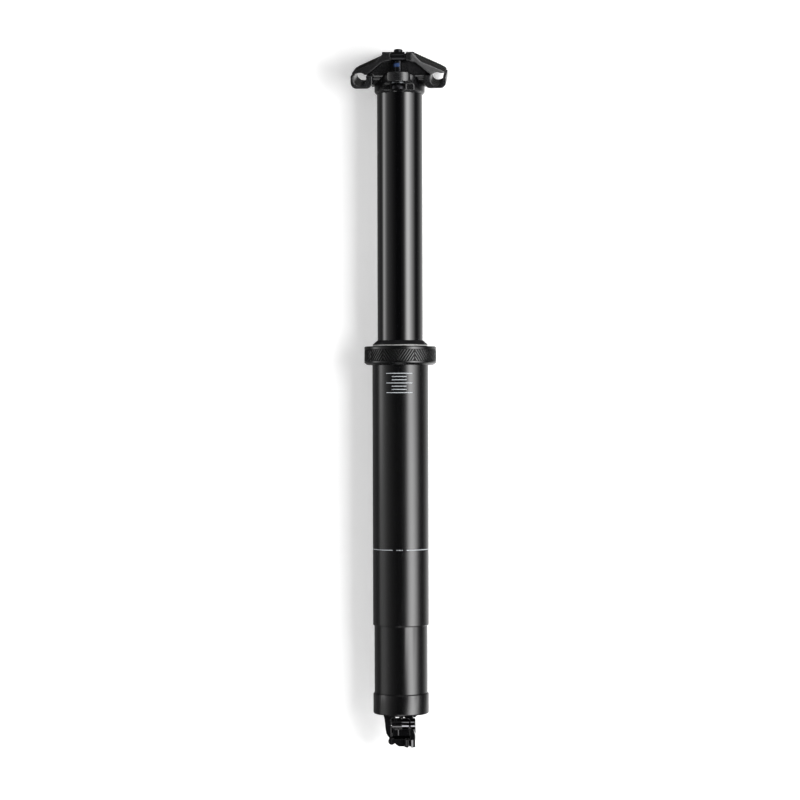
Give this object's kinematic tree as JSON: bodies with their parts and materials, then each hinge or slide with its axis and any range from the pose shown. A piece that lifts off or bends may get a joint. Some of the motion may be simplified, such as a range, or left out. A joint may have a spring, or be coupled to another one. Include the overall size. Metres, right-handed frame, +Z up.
{
  "type": "dropper seatpost",
  "caption": "Cable-released dropper seatpost: a black stanchion slides in a round tube with a knurled collar, with a tilting saddle rail clamp on top and a release lever at its foot.",
  "frame": {"origin": "on the post's axis at the collar's underside, the face that rests on the top of the frame's seat tube", "axes": "+Z up along the post towards the saddle, -Y towards the front of the bicycle, +X to the right as seen from the front; left and right in the names are as seen from there"},
  "size_m": [0.0534, 0.0472, 0.3937],
  "materials": {
    "outer_tube_anodised": "satin black anodised, drawn and polished along its length",
    "stanchion_anodised": "glossy black hard anodised",
    "turned_anodised": "satin black anodised on turned parts",
    "forged_anodised": "black anodised over a fine blasted forging",
    "machined_anodised": "black anodised on small milled parts",
    "black_steel": "black oxide steel",
    "bright_steel": "ground stainless steel",
    "washer_steel": "plain turned steel",
    "chromed_rod": "hard chromed and ground",
    "plain_aluminium": "bare turned aluminium",
    "key_brass": "machined brass",
    "seal_rubber": "moulded nitrile rubber, matte",
    "wiper_rubber": "moulded wiper rubber, slight sheen",
    "oiled_foam": "open-cell foam soaked in oil",
    "bushing_polymer": "filled sliding polymer"
  },
  "bodies": {
    "lower_post": {"outer_tube": "outer_tube_anodised", "upper_bushing": "bushing_polymer", "foam_ring": "oiled_foam", "collar": "turned_anodised", "wiper_seal": "wiper_rubber", "bottom_cap": "turned_anodised", "bottom_out_bumper": "seal_rubber", "rod_nut": "washer_steel", "cartridge_rod": "chromed_rod", "piston": "plain_aluminium", "piston_seal": "seal_rubber", "release_bracket": "machined_anodised", "bracket_screws": "black_steel", "housing_stop": "machined_anodised", "lever_pin": "bright_steel"},
    "upper_post": {"stanchion": "stanchion_anodised", "lower_bushing": "bushing_polymer", "anti_rotation_keys": "key_brass", "cartridge_cylinder": "plain_aluminium", "cartridge_gland": "plain_aluminium", "rod_seal": "seal_rubber", "top_out_ring": "seal_rubber", "cartridge_retainer": "plain_aluminium", "cylinder_plug": "plain_aluminium", "plug_seal": "seal_rubber", "head": "forged_anodised", "bolt_washers": "washer_steel"},
    "floating_piston": {"floating_piston": "plain_aluminium", "floating_piston_seal": "seal_rubber"},
    "saddle_clamp": {"lower_clamp": "forged_anodised", "upper_clamp_left": "forged_anodised", "upper_clamp_right": "forged_anodised"},
    "front_nut": {"front_nut": "black_steel"},
    "rear_nut": {"rear_nut": "black_steel"},
    "front_bolt": {"front_bolt": "black_steel"},
    "rear_bolt": {"rear_bolt": "black_steel"},
    "release_lever": {"release_lever": "machined_anodised"},
    "release_pin": {"release_pin": "bright_steel", "valve_poppet": "key_brass"},
    "cable_barrel": {"cable_barrel": "machined_anodised", "barrel_grub_screw": "black_steel"}
  },
  "joints": [
    {"name": "dropper_travel", "type": "slide", "parent": "lower_post", "child": "upper_post", "axis": [0, 0, 1], "range_m": [-0.125, 0], "stiffness_N_per_m": 1500, "springref_m": 0.13},
    {"name": "floating_piston_slide", "type": "slide", "parent": "upper_post", "child": "floating_piston", "axis": [0, 0, 1], "range_m": [0, 0.0315]},
    {"name": "front_bolt_spin", "type": "hinge", "parent": "upper_post", "child": "front_bolt", "pos_m": [0, -0.0175, 0.16], "axis": [0, 0, 1], "range_deg": [-1099.6, 1099.6]},
    {"name": "rear_bolt_spin", "type": "hinge", "parent": "upper_post", "child": "rear_bolt", "pos_m": [0, 0.0175, 0.16], "axis": [0, 0, 1], "range_deg": [-1099.6, 1099.6]},
    {"name": "saddle_tilt", "type": "hinge", "parent": "upper_post", "child": "saddle_clamp", "pos_m": [0, 0, 0.1715], "axis": [1, 0, 0], "range_deg": [-8.01, 8.01]},
    {"name": "front_nut_pivot", "type": "hinge", "parent": "saddle_clamp", "child": "front_nut", "pos_m": [0, -0.0175, 0.1715], "axis": [1, 0, 0], "range_deg": [-8.01, 8.01]},
    {"name": "rear_nut_pivot", "type": "hinge", "parent": "saddle_clamp", "child": "rear_nut", "pos_m": [0, 0.0175, 0.1715], "axis": [1, 0, 0], "range_deg": [-8.01, 8.01]},
    {"name": "lever_pivot", "type": "hinge", "parent": "lower_post", "child": "release_lever", "pos_m": [0, -0.0035, -0.2023], "axis": [1, 0, 0], "range_deg": [0, 25]},
    {"name": "release_pin_slide", "type": "slide", "parent": "lower_post", "child": "release_pin", "axis": [0, 0, 1], "range_m": [0, 0.00154], "stiffness_N_per_m": 60, "springref_m": -0.005},
    {"name": "cable_barrel_pivot", "type": "hinge", "parent": "release_lever", "child": "cable_barrel", "pos_m": [0.0053, -0.01, -0.2013], "axis": [1, 0, 0], "range_deg": [-25, 0]}
  ],
  "couplings": [
    {"joint": "floating_piston_slide", "follows": "dropper_travel", "ratio": -0.25},
    {"joint": "rear_bolt_spin", "follows": "front_bolt_spin", "ratio": -1},
    {"joint": "saddle_tilt", "follows": "front_bolt_spin", "ratio": 0.0072757},
    {"joint": "front_nut_pivot", "follows": "front_bolt_spin", "ratio": -0.0072757},
    {"joint": "rear_nut_pivot", "follows": "front_bolt_spin", "ratio": -0.0072757},
    {"joint": "lever_pivot", "follows": "release_pin_slide", "rad_per_m": 283.3},
    {"joint": "cable_barrel_pivot", "follows": "release_pin_slide", "rad_per_m": -283.3}
  ]
}
